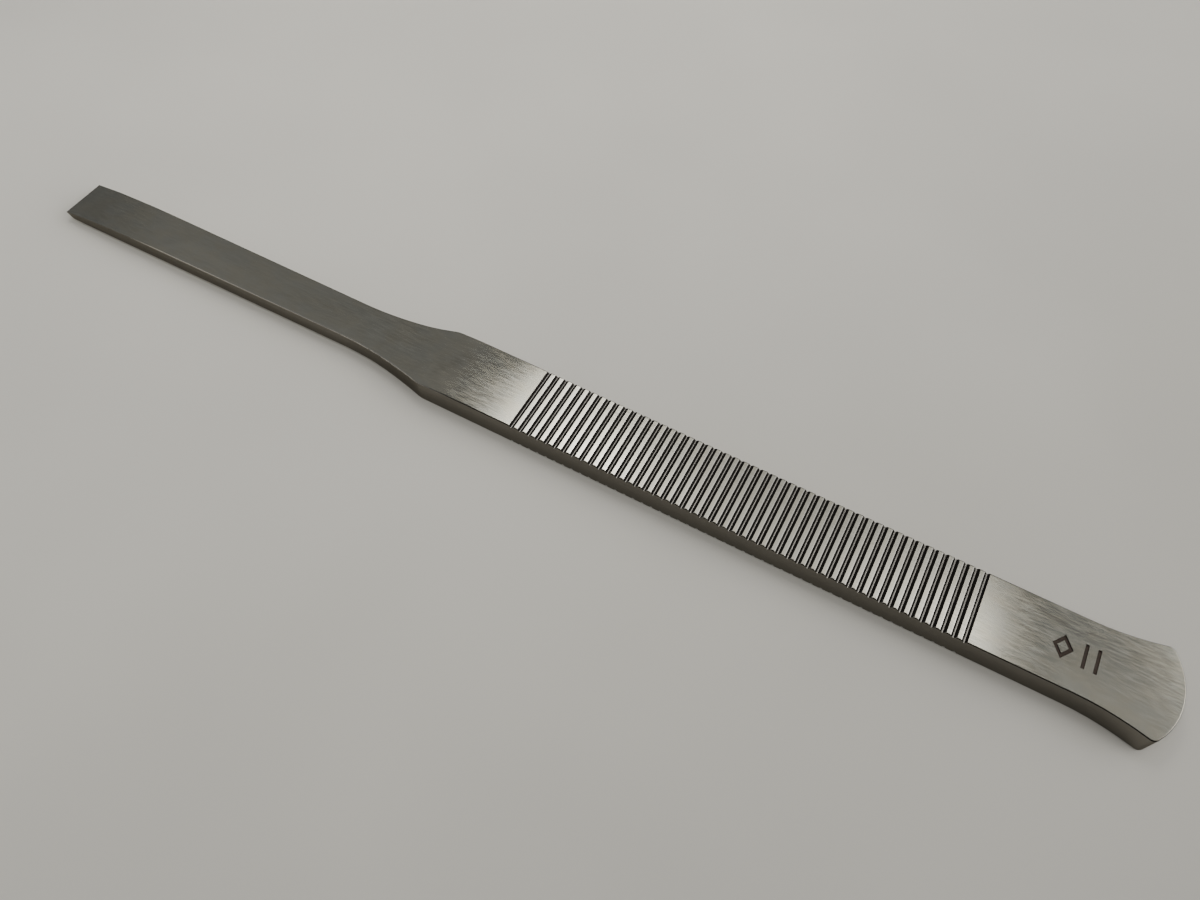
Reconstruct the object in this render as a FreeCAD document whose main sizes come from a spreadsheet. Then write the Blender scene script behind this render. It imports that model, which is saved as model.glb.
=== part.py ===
import FreeCAD, Part
import math
import os
import re

import Sketcher

# One-piece straight osteotome: a slender flat blade, a curved shoulder, a flat ribbed
# grip and a flared striking end, all ground from one bar of stainless steel.
# Frame: the origin is on the resting face at the middle of the length and the width,
# +X points to the striking end, +Y goes across the tool, +Z up through its thickness.

# Driving dimensions in millimetres.  A "station" is a distance from the cutting edge.
SIZES = {
    "overall_length": 127.5,
    "bar_thickness": 2.8,
    # plan outline
    "edge_width": 5.28,
    "neck_width": 4.85,
    "neck_station": 39.5,
    "shoulder_radius": 40.0,
    "shoulder_corner": 3.5,
    "grip_width": 7.9,
    "flare_station": 118.6,
    "flare_width": 7.69,
    "flare_radius": 25.9,
    "end_radius": 7.6,
    "end_corner": 0.7,
    # how far the blade's two faces lie below the grip's faces, at two stations
    "tip_drop_top": 0.74,
    "tip_drop_under": 0.34,
    "root_drop_top": 0.41,
    "root_drop_under": 0.27,
    "root_station": 47.0,
    "roll_end_top": 54.4,
    "roll_end_under": 49.2,
    "roll_radius": 40.0,
    # ground cutting edge
    "edge_height": 1.14,
    "edge_land": 0.08,
    "top_bevel_length": 3.4,
    "top_curve_length": 17.0,
    "top_curve_radius": 198.0,
    "under_bevel_length": 0.85,
    # ribs, given by the grooves between and beside them
    "groove_count": 48.0,
    "groove_pitch": 1.0,
    "groove_station": 61.93,
    "groove_width": 0.52,
    "groove_depth": 0.27,
    "groove_root_radius": 0.14,
    # small features
    "edge_break": 0.13,
    "mark_station": 118.0,
    "mark_length": 4.6,
    "mark_height": 2.5,
    "mark_stroke": 0.34,
    "mark_hollow_share": 0.53,
    "mark_depth": 0.1,
}

CUT_CLEARANCE = 1.0            # how far a cutting profile runs past the metal
START, END, CENTRE = 1, 2, 3   # the ends and centre of a piece of sketch geometry
X_AXIS = -1                    # a sketch's own horizontal axis; its point 1 is the origin


def size_sheet(document):
    """Spreadsheet that holds every driving dimension under its own alias."""
    sheet = document.addObject("Spreadsheet::Sheet", "Sizes")
    for row, (name, value) in enumerate(SIZES.items(), start=1):
        sheet.set(f"A{row}", name.replace("_", " "))
        sheet.set(f"B{row}", str(value))
        sheet.setAlias(f"B{row}", name)
    return sheet


def bound(formula):
    """The formula with every size name pointed at its cell in the sheet."""
    return re.sub(r"[a-z]+(?:_[a-z]+)+", lambda name: f"Sizes.{name.group()}", formula)


def station(name):
    """Formula for the x position of a station measured from the cutting edge."""
    return f"{name} - overall_length / 2"


def origin_feature(body, role):
    return next(item for item in body.Origin.OriginFeatures if item.Role == role)


class Outline:
    """A sketch drawn piece by piece, with every size tied to the sheet."""

    def __init__(self, body, name, plane, height=None):
        self.sketch = body.newObject("Sketcher::SketchObject", name)
        self.sketch.AttachmentSupport = [(origin_feature(body, plane), "")]
        self.sketch.MapMode = "FlatFace"
        if height:
            self.sketch.setExpression(".AttachmentOffset.Base.z", bound(height))

    def number(self, formula):
        return float(self.sketch.evalExpression(bound(formula)))

    def point(self, across, up):
        return FreeCAD.Vector(self.number(across), self.number(up), 0)

    def line(self, first, last, construction=False):
        index = self.sketch.addGeometry(Part.LineSegment(first, last), construction)
        return index, START, END

    def arc(self, centre, first, last):
        """The shorter arc about the centre from the first point to the last one."""
        first_angle = math.atan2(first.y - centre.y, first.x - centre.x)
        last_angle = math.atan2(last.y - centre.y, last.x - centre.x)
        circle = Part.Circle(centre, FreeCAD.Vector(0, 0, 1), first.distanceToPoint(centre))
        forwards = (last_angle - first_angle) % (2 * math.pi) < math.pi
        angles = (first_angle, last_angle) if forwards else (last_angle, first_angle)
        index = self.sketch.addGeometry(Part.ArcOfCircle(circle, *angles))
        return (index, START, END) if forwards else (index, END, START)

    def constrain(self, kind, *references, formula=None):
        index = self.sketch.addConstraint(Sketcher.Constraint(kind, *references))
        if formula:
            self.sketch.setExpression(f"Constraints[{index}]", bound(formula))

    def place(self, piece, end, across=None, up=None):
        """Holds one point of a piece at its distances from the sketch's origin."""
        position = self.sketch.getPoint(piece, end)
        if up == "0":
            self.constrain("PointOnObject", piece, end, X_AXIS)
            up = None
        for kind, formula, value in (("DistanceX", across, position.x), ("DistanceY", up, position.y)):
            if formula and value < 0:
                self.constrain(kind, piece, end, X_AXIS, START, -value, formula=f"-({formula})")
            elif formula:
                self.constrain(kind, X_AXIS, START, piece, end, value, formula=formula)

    def join(self, *pieces):
        """Joins the end of each piece to the start of the next one."""
        for before, after in zip(pieces, pieces[1:]):
            self.constrain("Coincident", before[0], before[2], after[0], after[1])

    def blend(self, *pieces):
        """Joins each piece to the next one with no corner between them."""
        for before, after in zip(pieces, pieces[1:]):
            self.constrain("Tangent", before[0], before[2], after[0], after[1])

    def pass_through(self, piece, across, up):
        """Makes a straight piece, or its extension, pass through a held point."""
        index = self.sketch.addGeometry(Part.Point(self.point(across, up)), True)
        self.place(index, START, across, up)
        self.constrain("PointOnObject", index, START, piece[0])

    def radius(self, piece, formula):
        self.constrain("Radius", piece[0], self.number(formula), formula=formula)


def crossing(first, second, rightmost):
    """The left or right one of the two points where two curves cross."""
    points = [FreeCAD.Vector(point.X, point.Y, 0) for point in first.intersect(second)]
    return sorted(points, key=lambda point: point.x)[-1 if rightmost else 0]


def towards(start, target, distance):
    return start + (target - start).normalize() * distance


def circle(centre, radius):
    return Part.Circle(centre, FreeCAD.Vector(0, 0, 1), radius)


def offset_line(first, last, distance):
    """An endless line parallel to first-last, moved to its left by the distance."""
    along = (last - first).normalize()
    sideways = FreeCAD.Vector(-along.y, along.x, 0) * distance
    return Part.Line(first + sideways, last + sideways), sideways


def half_plan(body):
    """Sketch of the tool's outline in plan, from the middle line to +Y."""
    plan = Outline(body, "HalfPlan", "XY_Plane")
    shoulder_radius = plan.number("shoulder_radius")
    shoulder_corner = plan.number("shoulder_corner")
    flare_radius = plan.number("flare_radius")
    end_radius = plan.number("end_radius")
    end_corner = plan.number("end_corner")

    edge_middle = plan.point("-overall_length / 2", "0")
    edge_end = plan.point("-overall_length / 2", "edge_width / 2")
    neck = plan.point(station("neck_station"), "neck_width / 2")
    grip_start = plan.point(station("neck_station"), "grip_width / 2")
    flare = plan.point(station("flare_station"), "flare_width / 2")
    apex = plan.point("overall_length / 2", "0")

    hollow_centre = neck + offset_line(edge_end, neck, shoulder_radius)[1]
    inside_grip, inwards = offset_line(flare, grip_start, shoulder_corner)
    corner_reach = circle(hollow_centre, shoulder_radius + shoulder_corner)
    corner_centre = crossing(corner_reach, inside_grip, rightmost=True)
    shoulder_turn = towards(hollow_centre, corner_centre, shoulder_radius)
    grip_tangent = corner_centre - inwards

    flare_centre = flare + offset_line(grip_start, flare, flare_radius)[1]
    end_centre = apex - FreeCAD.Vector(end_radius, 0, 0)
    heel_reach = circle(flare_centre, flare_radius + end_corner)
    heel_centre = crossing(heel_reach, circle(end_centre, end_radius - end_corner), rightmost=True)
    heel_first = towards(flare_centre, heel_centre, flare_radius)
    heel_last = towards(end_centre, heel_centre, end_radius)

    cutting_edge = plan.line(edge_middle, edge_end)
    blade = plan.line(edge_end, neck)
    hollow = plan.arc(hollow_centre, neck, shoulder_turn)
    corner = plan.arc(corner_centre, shoulder_turn, grip_tangent)
    grip = plan.line(grip_tangent, flare)
    flared = plan.arc(flare_centre, flare, heel_first)
    heel = plan.arc(heel_centre, heel_first, heel_last)
    struck = plan.arc(end_centre, heel_last, apex)
    middle = plan.line(apex, edge_middle)

    plan.join(struck, middle, cutting_edge, blade)
    plan.blend(blade, hollow, corner, grip, flared, heel, struck)
    plan.constrain("Vertical", cutting_edge[0])
    plan.constrain("Horizontal", middle[0])
    plan.constrain("PointOnObject", struck[0], CENTRE, X_AXIS)
    plan.constrain("PointOnObject", middle[0], START, X_AXIS)
    plan.place(middle[0], START, across="overall_length / 2")
    plan.place(cutting_edge[0], END, "-overall_length / 2", "edge_width / 2")
    plan.place(blade[0], END, station("neck_station"), "neck_width / 2")
    plan.place(grip[0], START, up="grip_width / 2")
    plan.place(grip[0], END, station("flare_station"), "flare_width / 2")
    for piece, name in (
        (hollow, "shoulder_radius"),
        (corner, "shoulder_corner"),
        (flared, "flare_radius"),
        (heel, "end_corner"),
        (struck, "end_radius"),
    ):
        plan.radius(piece, name)
    return plan.sketch


def bar(body):
    """The flat bar in its full outline: half of it padded, then mirrored."""
    half = body.newObject("PartDesign::Pad", "HalfBar")
    half.Profile = half_plan(body)
    half.setExpression("Length", bound("bar_thickness"))
    whole = body.newObject("PartDesign::Mirrored", "Bar")
    whole.Originals = [half]
    whole.MirrorPlane = (origin_feature(body, "XZ_Plane"), [""])
    body.Tip = whole
    return whole


def cut_through(body, name, sketch):
    """Pocket that runs right across the tool, both ways from its middle."""
    pocket = body.newObject("PartDesign::Pocket", name)
    pocket.Profile = sketch
    pocket.Type = "ThroughAll"
    pocket.Midplane = True
    return pocket


def below_face(outward, depth):
    """Formula for the height of a point below the top face, or above the resting face."""
    return f"bar_thickness - ({depth})" if outward > 0 else depth


def blade_height(face, outward, distance):
    """Formula for the height of a blade face at a distance from the cutting edge."""
    rise = f"(tip_drop_{face} - root_drop_{face}) * {distance} / root_station"
    return below_face(outward, f"tip_drop_{face} - {rise}")


def close_above(profile, chain, outward):
    """Closes a cutting profile with a straight roof outside the metal."""
    first = profile.sketch.getPoint(chain[0][0], chain[0][1])
    last = profile.sketch.getPoint(chain[-1][0], chain[-1][2])
    roof_height = below_face(outward, f"-{CUT_CLEARANCE}")
    height = profile.number(roof_height)
    last_above = FreeCAD.Vector(last.x, height, 0)
    first_above = FreeCAD.Vector(first.x, height, 0)
    rise = profile.line(last, last_above)
    roof = profile.line(last_above, first_above)
    fall = profile.line(first_above, first)
    profile.join(chain[-1], rise, roof, fall, chain[0])
    profile.constrain("Vertical", rise[0])
    profile.constrain("Horizontal", roof[0])
    profile.constrain("Vertical", fall[0])
    profile.place(roof[0], START, up=roof_height)


def thin_blade(body, face, outward):
    """Takes one face of the blade down, and rolls it up into the grip's face."""
    profile = Outline(body, f"BladeProfile_{face}", "XZ_Plane")
    tip_place = ("-overall_length / 2", blade_height(face, outward, "0"))
    root_place = (station("root_station"), blade_height(face, outward, "root_station"))
    roll_place = (station(f"roll_end_{face}"), below_face(outward, "0"))
    roll_radius = profile.number("roll_radius")
    tip, root, roll = (profile.point(*place) for place in (tip_place, root_place, roll_place))

    crown_centre = roll - FreeCAD.Vector(0, outward * roll_radius, 0)
    above_blade, upwards = offset_line(tip, root, outward * roll_radius)
    hollow_centre = crossing(circle(crown_centre, 2 * roll_radius), above_blade, rightmost=False)
    turn = (crown_centre + hollow_centre) / 2

    surface = profile.line(tip, hollow_centre - upwards)
    hollow = profile.arc(hollow_centre, hollow_centre - upwards, turn)
    crown = profile.arc(crown_centre, turn, roll)
    profile.blend(surface, hollow, crown)
    profile.place(surface[0], START, *tip_place)
    profile.pass_through(surface, *root_place)
    profile.place(crown[0], crown[2], *roll_place)
    profile.place(crown[0], CENTRE, across=roll_place[0])
    profile.radius(crown, "roll_radius")
    profile.radius(hollow, "roll_radius")
    close_above(profile, (surface, hollow, crown), outward)
    return cut_through(body, f"BladeFace_{face}", profile.sketch)


def break_long_edges(body):
    """Small rounding along every edge where the top or resting face meets a side."""
    bar_so_far = body.Tip
    edges = [
        f"Edge{number}"
        for number, edge in enumerate(bar_so_far.Shape.Edges, start=1)
        if is_long_edge(bar_so_far.Shape, edge)
    ]
    rounding = body.newObject("PartDesign::Fillet", "EdgeBreak")
    rounding.Base = (bar_so_far, edges)
    rounding.setExpression("Radius", bound("edge_break"))
    return rounding


def is_long_edge(shape, edge):
    """True where exactly one of the edge's two faces is an upright side of the tool."""
    upright = []
    for face in shape.ancestorsOfType(edge, Part.Face):
        low_u, high_u, low_v, high_v = face.ParameterRange
        normal = face.normalAt((low_u + high_u) / 2, (low_v + high_v) / 2)
        if abs(normal.z) < 0.01:
            upright.append(normal)
    return len(upright) == 1 and upright[0].x > -0.99


def grind_top_bevel(body):
    """Bevel down to the cutting edge, run into the top of the blade by a long flat curve."""
    profile = Outline(body, "TopBevelProfile", "XZ_Plane")
    edge_place = ("-overall_length / 2", "edge_height + edge_land / 2")
    fade_place = (station("top_curve_length"), blade_height("top", 1, "top_curve_length"))
    root_place = (station("root_station"), blade_height("top", 1, "root_station"))
    edge, fade, root = (profile.point(*place) for place in (edge_place, fade_place, root_place))

    radius = profile.number("top_curve_radius")
    centre = fade - offset_line(fade, root, radius)[1]
    heel_across = profile.number(station("top_bevel_length"))
    heel_up = centre.y + math.sqrt(radius**2 - (heel_across - centre.x) ** 2)
    heel = FreeCAD.Vector(heel_across, heel_up, 0)
    bevel = profile.line(edge, heel)
    curve = profile.arc(centre, heel, fade)
    blade = profile.line(fade, root, construction=True)
    profile.join(bevel, curve)
    profile.blend(curve, blade)
    profile.place(bevel[0], START, *edge_place)
    profile.place(bevel[0], END, across=station("top_bevel_length"))
    profile.place(blade[0], START, *fade_place)
    profile.place(blade[0], END, *root_place)
    profile.radius(curve, "top_curve_radius")
    close_above(profile, (bevel, curve), 1)
    return cut_through(body, "TopBevel", profile.sketch)


def grind_under_bevel(body):
    """Short steep bevel on the underside of the cutting edge."""
    profile = Outline(body, "UnderBevelProfile", "XZ_Plane")
    edge_place = ("-overall_length / 2", "edge_height - edge_land / 2")
    heel_place = (station("under_bevel_length"), blade_height("under", -1, "under_bevel_length"))
    bevel = profile.line(profile.point(*edge_place), profile.point(*heel_place))
    profile.place(bevel[0], START, *edge_place)
    profile.place(bevel[0], END, *heel_place)
    close_above(profile, (bevel,), -1)
    return cut_through(body, "UnderBevel", profile.sketch)


def groove_section(body, face, outward):
    """Sketch of one groove's section: leaning walls that run into a round root."""
    section = Outline(body, f"GrooveSection_{face}", "XZ_Plane")
    middle = station("groove_station")
    left_place = (f"{middle} - groove_width / 2", below_face(outward, "0"))
    right_place = (f"{middle} + groove_width / 2", below_face(outward, "0"))
    root_place = (middle, below_face(outward, "groove_depth - groove_root_radius"))
    left, right, root = (section.point(*place) for place in (left_place, right_place, root_place))

    root_circle = circle(root, section.number("groove_root_radius"))
    left_foot = crossing(touching_circle(left, root), root_circle, rightmost=False)
    right_foot = crossing(touching_circle(right, root), root_circle, rightmost=True)
    left_wall = section.line(left, left_foot)
    floor = section.arc(root, left_foot, right_foot)
    right_wall = section.line(right_foot, right)
    section.blend(left_wall, floor, right_wall)
    section.place(left_wall[0], START, *left_place)
    section.place(right_wall[0], END, *right_place)
    section.place(floor[0], CENTRE, *root_place)
    section.radius(floor, "groove_root_radius")
    close_above(section, (left_wall, floor, right_wall), outward)
    return section.sketch


def touching_circle(point, centre):
    """The circle that crosses any circle about the centre where lines from the point touch it."""
    return circle((point + centre) / 2, point.distanceToPoint(centre) / 2)


def cut_grooves(body, face, outward):
    """Row of equal grooves across one face of the grip, which leaves the ribs standing."""
    groove = cut_through(body, f"Groove_{face}", groove_section(body, face, outward))
    body.Document.recompute()
    row = body.newObject("PartDesign::LinearPattern", f"Grooves_{face}")
    row.Originals = [groove]
    row.Direction = (origin_feature(body, "X_Axis"), [""])
    row.setExpression("Length", bound("(groove_count - 1) * groove_pitch"))
    row.setExpression("Occurrences", bound("groove_count"))
    body.Tip = row
    return row


def polygon(outline, places):
    """Closed straight-sided outline with every corner held by its formulas."""
    corners = [outline.point(*place) for place in places]
    sides = [outline.line(*ends) for ends in zip(corners, corners[1:] + corners[:1])]
    outline.join(*sides, sides[0])
    for side, place in zip(sides, places):
        outline.place(side[0], START, *place)


def lozenge(outline, middle, share):
    """Upright lozenge on the middle line, at a share of the mark's full lozenge."""
    half_length = f"mark_length / 4.8 * {share}"
    half_height = f"mark_height / 2 * {share}"
    polygon(
        outline,
        (
            (f"{middle} - {half_length}", "0"),
            (middle, half_height),
            (f"{middle} + {half_length}", "0"),
            (middle, f"-({half_height})"),
        ),
    )


def upright_bar(outline, left):
    """Narrow bar across the middle line, as tall as the mark."""
    right = f"{left} + mark_stroke"
    low, high = "-mark_height / 2", "mark_height / 2"
    polygon(outline, ((left, low), (left, high), (right, high), (right, low)))


def engrave_mark(body):
    """Shallow plain mark on the striking end: a hollow lozenge and two bars."""
    mark = Outline(body, "MarkOutline", "XY_Plane", height="bar_thickness")
    middle = station("mark_station")
    for share in ("1", "mark_hollow_share"):
        lozenge(mark, f"{middle} - mark_length / 4", share)
    for place in ("0.14", "0.38"):
        upright_bar(mark, f"{middle} + mark_length * {place}")
    pocket = body.newObject("PartDesign::Pocket", "Mark")
    pocket.Profile = mark.sketch
    pocket.setExpression("Length", bound("mark_depth"))
    return pocket


def osteotome(document):
    """The whole tool, built as one body because it is one piece of steel."""
    body = document.addObject("PartDesign::Body", "Osteotome")
    body.Label = "osteotome"
    steps = [
        bar,
        lambda tool: thin_blade(tool, "top", 1),
        lambda tool: thin_blade(tool, "under", -1),
        break_long_edges,
        grind_top_bevel,
        grind_under_bevel,
        lambda tool: cut_grooves(tool, "top", 1),
        lambda tool: cut_grooves(tool, "under", -1),
        engrave_mark,
    ]
    volume = math.inf
    for step in steps:
        feature = step(body)
        document.recompute()
        if feature.Shape.Volume >= volume:
            raise RuntimeError(f"{feature.Name} removed no metal")
        volume = feature.Shape.Volume
    return body


def check(document, bodies):
    """Stops on any failed object or on a sub-part without one valid solid."""
    for item in document.Objects:
        if "Invalid" in item.State or "Error" in item.State:
            raise RuntimeError(f"{item.Name} failed: {item.State}")
    for body in bodies:
        if body.Shape.isNull() or not body.Shape.isValid() or len(body.Shape.Solids) != 1:
            raise RuntimeError(f"{body.Label} is not one valid solid")


def main():
    os.makedirs("parts", exist_ok=True)
    document = FreeCAD.newDocument("Osteotome")
    size_sheet(document)
    document.recompute()
    bodies = [osteotome(document)]
    document.recompute()
    check(document, bodies)
    for body in bodies:
        body.Shape.exportStep(f"parts/{body.Label}.step")
        box = body.Shape.BoundBox
        print(body.Label, f"{box.XLength:.2f} x {box.YLength:.2f} x {box.ZLength:.2f} mm,",
              f"{body.Shape.Volume:.1f} mm3, {len(body.Shape.Faces)} faces")


main()
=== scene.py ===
import math

import bpy
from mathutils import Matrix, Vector


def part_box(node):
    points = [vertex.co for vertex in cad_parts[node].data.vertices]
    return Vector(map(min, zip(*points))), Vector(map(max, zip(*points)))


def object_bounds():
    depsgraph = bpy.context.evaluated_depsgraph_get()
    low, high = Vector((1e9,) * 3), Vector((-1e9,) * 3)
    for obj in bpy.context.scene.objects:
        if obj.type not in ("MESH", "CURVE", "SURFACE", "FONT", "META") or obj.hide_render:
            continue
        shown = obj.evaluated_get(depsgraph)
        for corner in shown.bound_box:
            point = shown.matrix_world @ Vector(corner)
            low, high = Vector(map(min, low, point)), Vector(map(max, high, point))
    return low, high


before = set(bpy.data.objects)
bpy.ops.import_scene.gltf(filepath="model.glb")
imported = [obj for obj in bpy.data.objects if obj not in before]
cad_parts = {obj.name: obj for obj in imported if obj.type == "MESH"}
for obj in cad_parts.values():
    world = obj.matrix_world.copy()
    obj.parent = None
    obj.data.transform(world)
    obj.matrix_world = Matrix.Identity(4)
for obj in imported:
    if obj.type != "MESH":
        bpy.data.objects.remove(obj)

MM = 0.001

# Camera: viewing angle, framing and lens.
CAMERA_PLACE = (28.73 * MM, -46.87 * MM, 81.15 * MM)
CAMERA_TURN = (32.352, -1.750, 28.251)
CAMERA_LENS = 28.03
SENSOR_WIDTH = 36.0
NEAREST_SEEN = 1 * MM

# Where the grip, the mark and the shoulder lie along the tool (mm).
GRIP_START = -2.09
GRIP_END = 45.45
MARK_START = 52.0
MARK_END = 56.6
MARK_REACH = 1.4
MARK_FADE = 0.1
MARK_DEPTHS = (0.02, 0.06)
SHOULDER_START = -16.0
SHOULDER_END = -8.0

# One rib and groove (mm), counted from the middle of a rib to the middle of the next one: the groove's
# painted shade, the painted highlight stripe along its floor, and the painted highlights along the edges
# of the rib's top.
RIB_PLACE = -1.31
RIB_PITCH = 1.0
GROOVE_SHADE_START = 0.30
GROOVE_SHADE_END = 0.83
GROOVE_SHADE_FADE = 0.02
GROOVE_HIGHLIGHT_START = 0.47
GROOVE_HIGHLIGHT_END = 0.54
GROOVE_HIGHLIGHT_FADE = 0.06
RIB_EDGE_HIGHLIGHT_RANGE = (0.1, 0.22)

# How level or upright a face is, for telling tops, rounded edges and sides apart.
RIB_TOP_RANGE = (0.6, 0.9)
NOT_SIDE_RANGE = (0.6, 0.4)
# Painted shade: faces less level than these rim values take the dark side colour. These are the sides,
# and on the grip also the rounded rims.
BLADE_RIM = 0.6
GRIP_RIM = 0.98
RIM_FADE = 0.06
EDGE_START = 0.25
EDGE_END = 0.93
EDGE_FADE = 0.04
EDGE_SIDEWAYS_RANGE = (0.1, 0.3)
NEAR_SIDE_RANGE = (-0.1, -0.3)

# Steel colours.
STEEL_WARM = (0.575, 0.546, 0.449, 1)
STEEL_COOL = (0.562, 0.548, 0.471, 1)
# Painted shade on the sides and rounded rims: their dark colour and how much of it is mixed in.
SIDE_SHADE_COLOUR = (0.19, 0.18, 0.162, 1)
SIDE_SHADE_SHARE = 0.95
# Painted shade as a dark line along the rounded long edges, and a painted highlight on the blade's near
# edge.
EDGE_SHADE_COLOUR = (0.035, 0.032, 0.028, 1)
EDGE_HIGHLIGHT_COLOUR = (0.58, 0.56, 0.51, 1)
# Painted highlight along the edges of the rib tops.
RIB_EDGE_HIGHLIGHT_COLOUR = (0.88, 0.85, 0.78, 1)
# Painted shade in the grooves, near black and not metallic, and a dimmer metallic painted highlight
# stripe along their floor.
GROOVE_SHADE_COLOUR = (0.02, 0.018, 0.016, 1)
GROOVE_HIGHLIGHT_COLOUR = (0.30, 0.285, 0.26, 1)
MARK_COLOUR = (0.15, 0.12, 0.10, 1)
FULL_GLANCE = (1, 1, 1, 1)
# Painted shade: a dimmer glancing tint on the sides.
SIDE_SHADE_GLANCE = (0.45, 0.44, 0.42, 1)

# Grain of the ground steel: repeats per mm along, across and up, and what each pattern does.
GRAIN_PER_MM = (0.15, 10.0, 10.0)
BRUSHING_PER_MM = (0.6, 6.0, 6.0)
MOTTLE_PER_MM = (0.35, 0.5, 0.5)
BRUSHING_RANGE = (0.3, 0.7)
MOTTLE_RANGE = (0.35, 0.65)
ROUGHNESS_LOW = 0.16
ROUGHNESS_HIGH = 0.24
STREAK_SHADE = 0.94
ANISOTROPY = 0.6
GRAIN_SHARE = 0.6
BRUSHING_SHARE = 0.4
GRAIN_STRENGTH = 0.5
GRAIN_DEPTH = 0.0009 * MM

# Smooth shading: the gap that is closed between faces, and the sharpest angle shaded smooth.
JOIN_DISTANCE = 0.0005 * MM
SHARPEST_SMOOTH_ANGLE = 12.0

# Floor: its colour is a little paler towards one side than towards the other. This is a painted light
# falloff, paler towards the far left and darker towards the near right.
FLOOR_SIZE = 4.0
FLOOR_COLOUR = (0.76, 0.735, 0.67)
FLOOR_ROUGHNESS = 0.85
FLOOR_UNEVENNESS = 0.03
UNEVENNESS_PER_METRE = 25.0
UNEVENNESS_RANGE = (0.3, 0.7)
PALER_TOWARDS = (-0.933, 0.359)
DARK_PLACE = -130 * MM
PALE_PLACE = 110 * MM
DARK_SHARE = 0.70
PALE_SHARE = 1.28

WORLD_COLOUR = (0.95, 0.97, 1.0)
WORLD_STRENGTH = 0.143
LIGHT_COLOUR = (1.0, 0.99, 0.96)

# Two rows of softboxes overhead: the row's middle and depth along Y (mm), then each box's
# left and right ends along X (mm) and its brightness.
SOFTBOX_HEIGHT = 180
SOFTBOX_ROWS = (
    (67.5, 75, (
        (-300, -105, 0.07),
        (-75, -55, 3.4),
        (-55, -30, 5.6),
        (-30, -5, 1.55),
        (-5, 45, 0.89),
        (45, 70, 1.83),
        (70, 88, 2.74),
        (104, 200, 0.27),
    )),
    (167.5, 125, (
        (-75, -55, 3.04),
        (-55, -5, 0.51),
        (-5, 45, 0.37),
        (45, 88, 0.42),
    )),
)
# Free panels: middle and size (mm), facing direction, brightness.
PANELS = (
    ((600, 100, 250), (500, 400), (-1, 0, -0.4), 3.19),
    ((450, 450, 350), (400, 400), (-1, -1, -0.8), 1.85),
    ((0, -150, 400), (300, 200), (0, 0.3, -1), 1.75),
    ((-450, 450, 350), (400, 400), (1, -1, -0.8), 0.06),
    ((-250, -200, 300), (500, 500), (0, 0, -1), 0.11),
)


class Nodes:
    """A material's node tree, with short calls for adding and linking nodes."""

    def __init__(self, name):
        self.material = bpy.data.materials.new(name)
        self.material.use_nodes = True
        self.tree = self.material.node_tree
        self.tree.nodes.clear()

    def add(self, kind, inputs=None, **settings):
        node = self.tree.nodes.new(kind)
        for name, value in settings.items():
            setattr(node, name, value)
        for name, value in (inputs or {}).items():
            self.feed(node.inputs[name], value)
        return node

    def feed(self, socket, value):
        if isinstance(value, bpy.types.NodeSocket):
            self.tree.links.new(value, socket)
        else:
            socket.default_value = value

    def math(self, operation, *values):
        node = self.add("ShaderNodeMath", operation=operation)
        for socket, value in zip(node.inputs, values):
            self.feed(socket, value)
        return node.outputs[0]

    def product(self, first, *others):
        for other in others:
            first = self.math("MULTIPLY", first, other)
        return first

    def ramp(self, value, low, high, start=0.0, end=1.0):
        """Smooth change from start to end while the value goes from low to high."""
        node = self.add(
            "ShaderNodeMapRange",
            {"Value": value, "From Min": low, "From Max": high, "To Min": start, "To Max": end},
            interpolation_type="SMOOTHSTEP",
        )
        return node.outputs["Result"]

    def between(self, value, low, high, fade):
        """One while the value lies between low and high, and zero outside, with a short fade."""
        return self.product(self.ramp(value, low - fade, low), self.ramp(value, high + fade, high))

    def noise(self, place, scale, detail, roughness=0.5):
        node = self.add(
            "ShaderNodeTexNoise",
            {"Vector": place, "Scale": scale, "Detail": detail, "Roughness": roughness},
        )
        return node.outputs["Fac"]

    def stretched(self, place, factors):
        """The place with each axis multiplied, so that a texture is drawn out along an axis."""
        node = self.add("ShaderNodeVectorMath", operation="MULTIPLY")
        self.feed(node.inputs[0], place)
        node.inputs[1].default_value = factors
        return node.outputs["Vector"]

    def split(self, vector):
        """The vector's X, Y and Z as separate outputs."""
        return self.add("ShaderNodeSeparateXYZ", {"Vector": vector}).outputs

    def shade(self, colour, share):
        """The colour multiplied by the share."""
        node = self.add("ShaderNodeVectorMath", operation="SCALE")
        self.feed(node.inputs[0], colour)
        self.feed(node.inputs["Scale"], share)
        return node.outputs["Vector"]

    def mix(self, share, first, second):
        node = self.add("ShaderNodeMix", data_type="RGBA")
        self.feed(node.inputs["Factor"], share)
        self.feed(node.inputs[6], first)
        self.feed(node.inputs[7], second)
        return node.outputs[2]

    def finish(self, shader):
        """Links the shader to the material's output and gives the material."""
        output = self.add("ShaderNodeOutputMaterial")
        self.feed(output.inputs["Surface"], shader.outputs["BSDF"])
        return self.material


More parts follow.
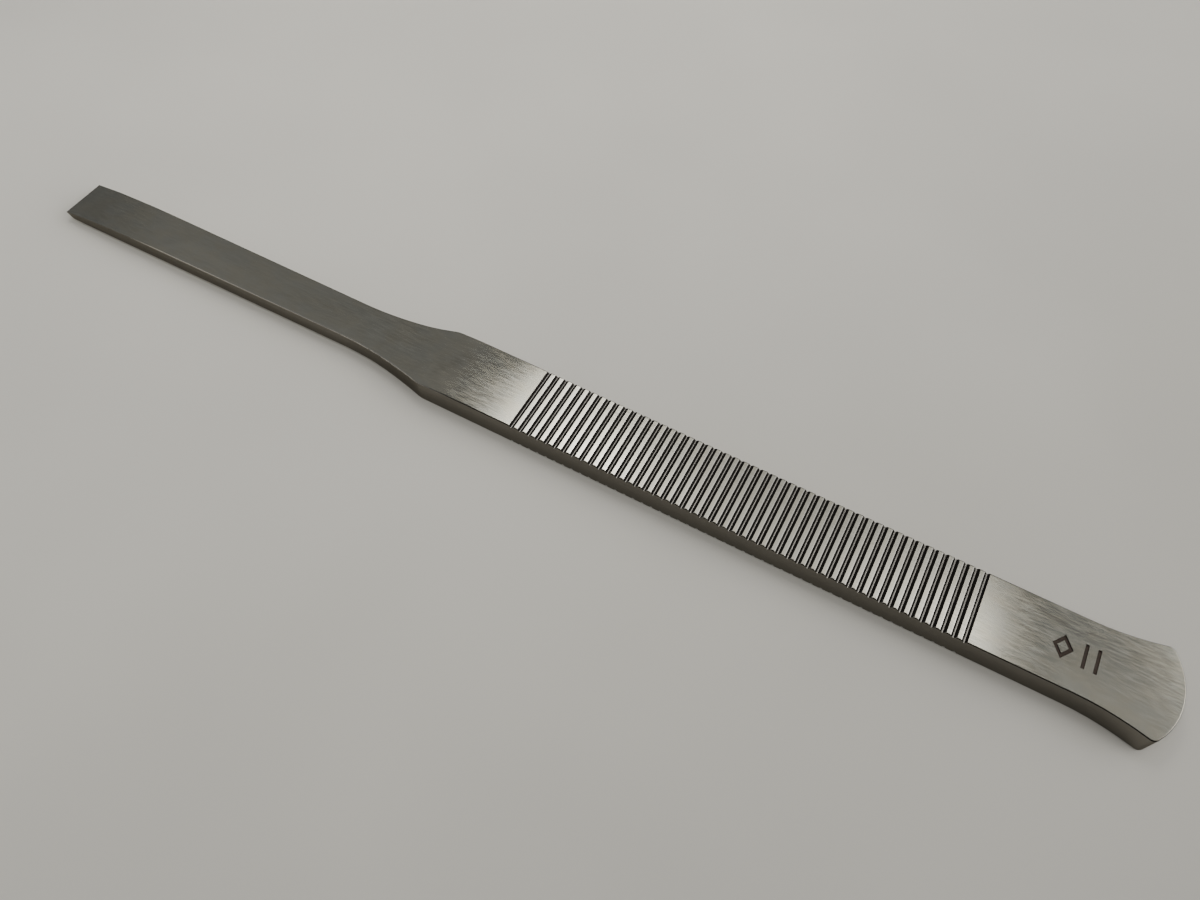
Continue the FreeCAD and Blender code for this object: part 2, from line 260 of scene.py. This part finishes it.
class Regions:
    """Masks that tell the regions of the tool apart, each running from zero to one."""

    def __init__(self, nodes, place, thickness):
        along, sides, height = nodes.split(place)
        normal = nodes.add("ShaderNodeNewGeometry").outputs["True Normal"]
        facing = nodes.split(normal)
        level = nodes.math("ABSOLUTE", facing["Z"])
        sideways = nodes.math("ABSOLUTE", facing["Y"])
        self.find_ribs(nodes, along, level, sideways)
        self.find_mark(nodes, along, sides, height, thickness / 2)
        self.find_sides(nodes, along, level, sideways, facing["Y"])

    def find_ribs(self, nodes, along, level, sideways):
        ribbed = nodes.between(along, GRIP_START, GRIP_END, GROOVE_SHADE_FADE)
        from_first = nodes.math("SUBTRACT", along, RIB_PLACE)
        across_rib = nodes.math("WRAP", from_first, RIB_PITCH, 0.0)
        in_groove = nodes.between(across_rib, GROOVE_SHADE_START, GROOVE_SHADE_END, GROOVE_SHADE_FADE)
        from_middle = nodes.math("PINGPONG", across_rib, RIB_PITCH / 2)
        # Painted shade fills the grooves, except for a painted highlight stripe along their floor.
        self.groove = nodes.product(ribbed, in_groove, nodes.ramp(sideways, *NOT_SIDE_RANGE))
        self.groove_highlight = nodes.between(across_rib, GROOVE_HIGHLIGHT_START, GROOVE_HIGHLIGHT_END, GROOVE_HIGHLIGHT_FADE)
        self.groove_shade = nodes.product(self.groove, nodes.math("SUBTRACT", 1.0, self.groove_highlight))
        # Painted highlight on the level rib tops away from their middles.
        self.rib_edge_highlight = nodes.product(ribbed, nodes.ramp(level, *RIB_TOP_RANGE),
                                  nodes.ramp(from_middle, *RIB_EDGE_HIGHLIGHT_RANGE))

    def find_mark(self, nodes, along, sides, height, half_thickness):
        from_middle = nodes.math("ABSOLUTE", nodes.math("SUBTRACT", height, half_thickness))
        depth = nodes.math("SUBTRACT", half_thickness, from_middle)
        self.mark = nodes.product(nodes.between(along, MARK_START, MARK_END, MARK_FADE),
                                  nodes.between(sides, -MARK_REACH, MARK_REACH, MARK_FADE),
                                  nodes.ramp(depth, *MARK_DEPTHS))

    def find_sides(self, nodes, along, level, sideways, facing_far):
        # The side mask marks the faces that carry the painted side shade.
        rim = nodes.ramp(along, SHOULDER_START, SHOULDER_END, BLADE_RIM, GRIP_RIM)
        on_blade = nodes.ramp(along, SHOULDER_END, SHOULDER_START)
        self.side = nodes.ramp(nodes.math("SUBTRACT", rim, level), 0.0, RIM_FADE)
        # The rounded long edges carry painted shade. On the blade's near side they carry a painted
        # highlight instead.
        self.edge = nodes.product(nodes.between(level, EDGE_START, EDGE_END, EDGE_FADE),
                                  nodes.ramp(sideways, *EDGE_SIDEWAYS_RANGE))
        self.near_edge_highlight = nodes.product(on_blade, nodes.ramp(facing_far, *NEAR_SIDE_RANGE))


def steel_colour(nodes, regions, brushing, mottle):
    colour = nodes.mix(nodes.ramp(mottle, *MOTTLE_RANGE), STEEL_WARM, STEEL_COOL)
    colour = nodes.shade(colour, nodes.ramp(brushing, *BRUSHING_RANGE, STREAK_SHADE, 1.0))
    # Painted shade on the sides and rims.
    colour = nodes.mix(nodes.product(regions.side, SIDE_SHADE_SHARE), colour, SIDE_SHADE_COLOUR)
    # Painted shade along the rounded long edges, with a painted highlight on the blade's near edge.
    edge_colour = nodes.mix(regions.near_edge_highlight, EDGE_SHADE_COLOUR, EDGE_HIGHLIGHT_COLOUR)
    colour = nodes.mix(regions.edge, colour, edge_colour)
    # Painted highlight along the edges of the rib tops.
    colour = nodes.mix(regions.rib_edge_highlight, colour, RIB_EDGE_HIGHLIGHT_COLOUR)
    # Painted shade in the grooves, with the painted highlight stripe along their floor.
    groove_colour = nodes.mix(regions.groove_highlight, GROOVE_SHADE_COLOUR, GROOVE_HIGHLIGHT_COLOUR)
    colour = nodes.mix(regions.groove, colour, groove_colour)
    return nodes.mix(regions.mark, colour, MARK_COLOUR)


def steel_material(thickness):
    """Satin stainless steel with lengthwise grinding grain, painted shade on the sides, rims, long edges
    and grooves, and painted highlights on rib edges, the blade's near edge and the groove floors.
    """
    nodes = Nodes("satin_steel")
    place = nodes.add("ShaderNodeTexCoord").outputs["Object"]
    place = nodes.stretched(place, (1 / MM, 1 / MM, 1 / MM))
    regions = Regions(nodes, place, thickness)

    grain = nodes.noise(nodes.stretched(place, GRAIN_PER_MM), 1.0, detail=4.0)
    brushing = nodes.noise(nodes.stretched(place, BRUSHING_PER_MM), 1.0, detail=3.0, roughness=0.6)
    mottle = nodes.noise(nodes.stretched(place, MOTTLE_PER_MM), 1.0, detail=4.0, roughness=0.6)
    height = nodes.math("ADD", nodes.product(grain, GRAIN_SHARE), nodes.product(brushing, BRUSHING_SHARE))
    bump = nodes.add(
        "ShaderNodeBump",
        {"Height": height, "Distance": GRAIN_DEPTH, "Strength": GRAIN_STRENGTH},
    )
    across = nodes.add("ShaderNodeTangent", direction_type="RADIAL", axis="X")
    shader = nodes.add(
        "ShaderNodeBsdfPrincipled",
        {
            "Base Color": steel_colour(nodes, regions, brushing, mottle),
            # The painted groove shade is not metallic.
            "Metallic": nodes.math("SUBTRACT", 1.0, regions.groove_shade),
            "Roughness": nodes.ramp(brushing, *BRUSHING_RANGE, ROUGHNESS_LOW, ROUGHNESS_HIGH),
            "Normal": bump.outputs["Normal"],
            "Specular IOR Level": 0.0,
            # Painted shade: a dimmer glancing tint on the sides.
            "Specular Tint": nodes.mix(regions.side, FULL_GLANCE, SIDE_SHADE_GLANCE),
            "Anisotropic": ANISOTROPY,
            "Tangent": across.outputs["Tangent"],
        },
    )
    return nodes.finish(shader)


def floor_material():
    """Matt pale paper-like floor with a very faint unevenness of tone, and a painted light falloff across
    it.
    """
    nodes = Nodes("pale_floor")
    place = nodes.add("ShaderNodeTexCoord").outputs["Object"]
    tone = nodes.noise(place, UNEVENNESS_PER_METRE, detail=2.0)
    darker, paler = (
        tuple(channel * share for channel in FLOOR_COLOUR) + (1,)
        for share in (1 - FLOOR_UNEVENNESS, 1 + FLOOR_UNEVENNESS)
    )
    colour = nodes.mix(nodes.ramp(tone, *UNEVENNESS_RANGE), darker, paler)
    # Painted light: the floor's colour grows from darker to paler along PALER_TOWARDS.
    axes = nodes.split(place)
    away = nodes.math("ADD", nodes.product(axes["X"], PALER_TOWARDS[0]),
                      nodes.product(axes["Y"], PALER_TOWARDS[1]))
    colour = nodes.shade(colour, nodes.ramp(away, DARK_PLACE, PALE_PLACE, DARK_SHARE, PALE_SHARE))
    shader = nodes.add(
        "ShaderNodeBsdfPrincipled",
        {"Base Color": colour, "Roughness": FLOOR_ROUGHNESS},
    )
    return nodes.finish(shader)


def make_floor(height):
    half = FLOOR_SIZE / 2
    corners = [(-half, -half, height), (half, -half, height), (half, half, height), (-half, half, height)]
    mesh = bpy.data.meshes.new("floor")
    mesh.from_pydata(corners, [], [(0, 1, 2, 3)])
    mesh.materials.append(floor_material())
    floor = bpy.data.objects.new("floor", mesh)
    bpy.context.scene.collection.objects.link(floor)


def make_panel(middle, size, facing, brightness):
    """Evenly bright rectangular softbox."""
    light = bpy.data.lights.new("softbox", "AREA")
    light.shape = "RECTANGLE"
    light.size, light.size_y = (side * MM for side in size)
    light.energy = math.pi * light.size * light.size_y * brightness
    light.color = LIGHT_COLOUR
    panel = bpy.data.objects.new("softbox", light)
    panel.location = Vector(middle) * MM
    panel.rotation_euler = Vector(facing).to_track_quat("-Z", "Y").to_euler()
    bpy.context.scene.collection.objects.link(panel)


def make_lights():
    for row_middle, depth, boxes in SOFTBOX_ROWS:
        for left, right, brightness in boxes:
            middle = ((left + right) / 2, row_middle, SOFTBOX_HEIGHT)
            make_panel(middle, (right - left, depth), (0, 0, -1), brightness)
    for panel in PANELS:
        make_panel(*panel)


def make_world():
    world = bpy.data.worlds.new("studio")
    bpy.context.scene.world = world
    world.use_nodes = True
    background = world.node_tree.nodes["Background"]
    background.inputs["Color"].default_value = (*WORLD_COLOUR, 1)
    background.inputs["Strength"].default_value = WORLD_STRENGTH


def make_camera():
    lens = bpy.data.cameras.new("camera")
    lens.lens = CAMERA_LENS
    lens.sensor_width = SENSOR_WIDTH
    lens.clip_start = NEAREST_SEEN
    camera = bpy.data.objects.new("camera", lens)
    camera.location = CAMERA_PLACE
    camera.rotation_euler = [math.radians(angle) for angle in CAMERA_TURN]
    bpy.context.scene.collection.objects.link(camera)
    bpy.context.scene.camera = camera


def smooth_shading():
    """Node group that shades gentle curves smoothly and keeps the sharper corners crisp."""
    group = bpy.data.node_groups.new("smooth_gentle_curves", "GeometryNodeTree")
    group.interface.new_socket("Geometry", in_out="INPUT", socket_type="NodeSocketGeometry")
    group.interface.new_socket("Geometry", in_out="OUTPUT", socket_type="NodeSocketGeometry")
    start = group.nodes.new("NodeGroupInput")
    joined = group.nodes.new("GeometryNodeMergeByDistance")
    joined.inputs["Distance"].default_value = JOIN_DISTANCE
    plain = group.nodes.new("GeometryNodeRemoveAttribute")
    plain.inputs["Name"].default_value = "custom_normal"
    faces = group.nodes.new("GeometryNodeSetShadeSmooth")
    edges = group.nodes.new("GeometryNodeSetShadeSmooth")
    edges.domain = "EDGE"
    angle = group.nodes.new("GeometryNodeInputMeshEdgeAngle")
    gentle = group.nodes.new("ShaderNodeMath")
    gentle.operation = "LESS_THAN"
    gentle.inputs[1].default_value = math.radians(SHARPEST_SMOOTH_ANGLE)
    end = group.nodes.new("NodeGroupOutput")
    group.links.new(angle.outputs["Unsigned Angle"], gentle.inputs[0])
    group.links.new(gentle.outputs[0], edges.inputs["Shade Smooth"])
    chain = (start, joined, plain, faces, edges, end)
    for before, after in zip(chain, chain[1:]):
        group.links.new(before.outputs["Geometry"], after.inputs["Geometry"])
    return group


def finish_steel(tool):
    """Gives the CAD tool its steel and smooth shading across its gentle curves."""
    lowest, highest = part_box(tool.name)
    tool.data.materials.clear()
    tool.data.materials.append(steel_material((highest.z - lowest.z) / MM))
    smoothing = tool.modifiers.new("smooth", "NODES")
    smoothing.node_group = smooth_shading()


cad_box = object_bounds()
make_camera()
make_world()
make_floor(cad_box[0].z)
make_lights()
finish_steel(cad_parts["osteotome"])
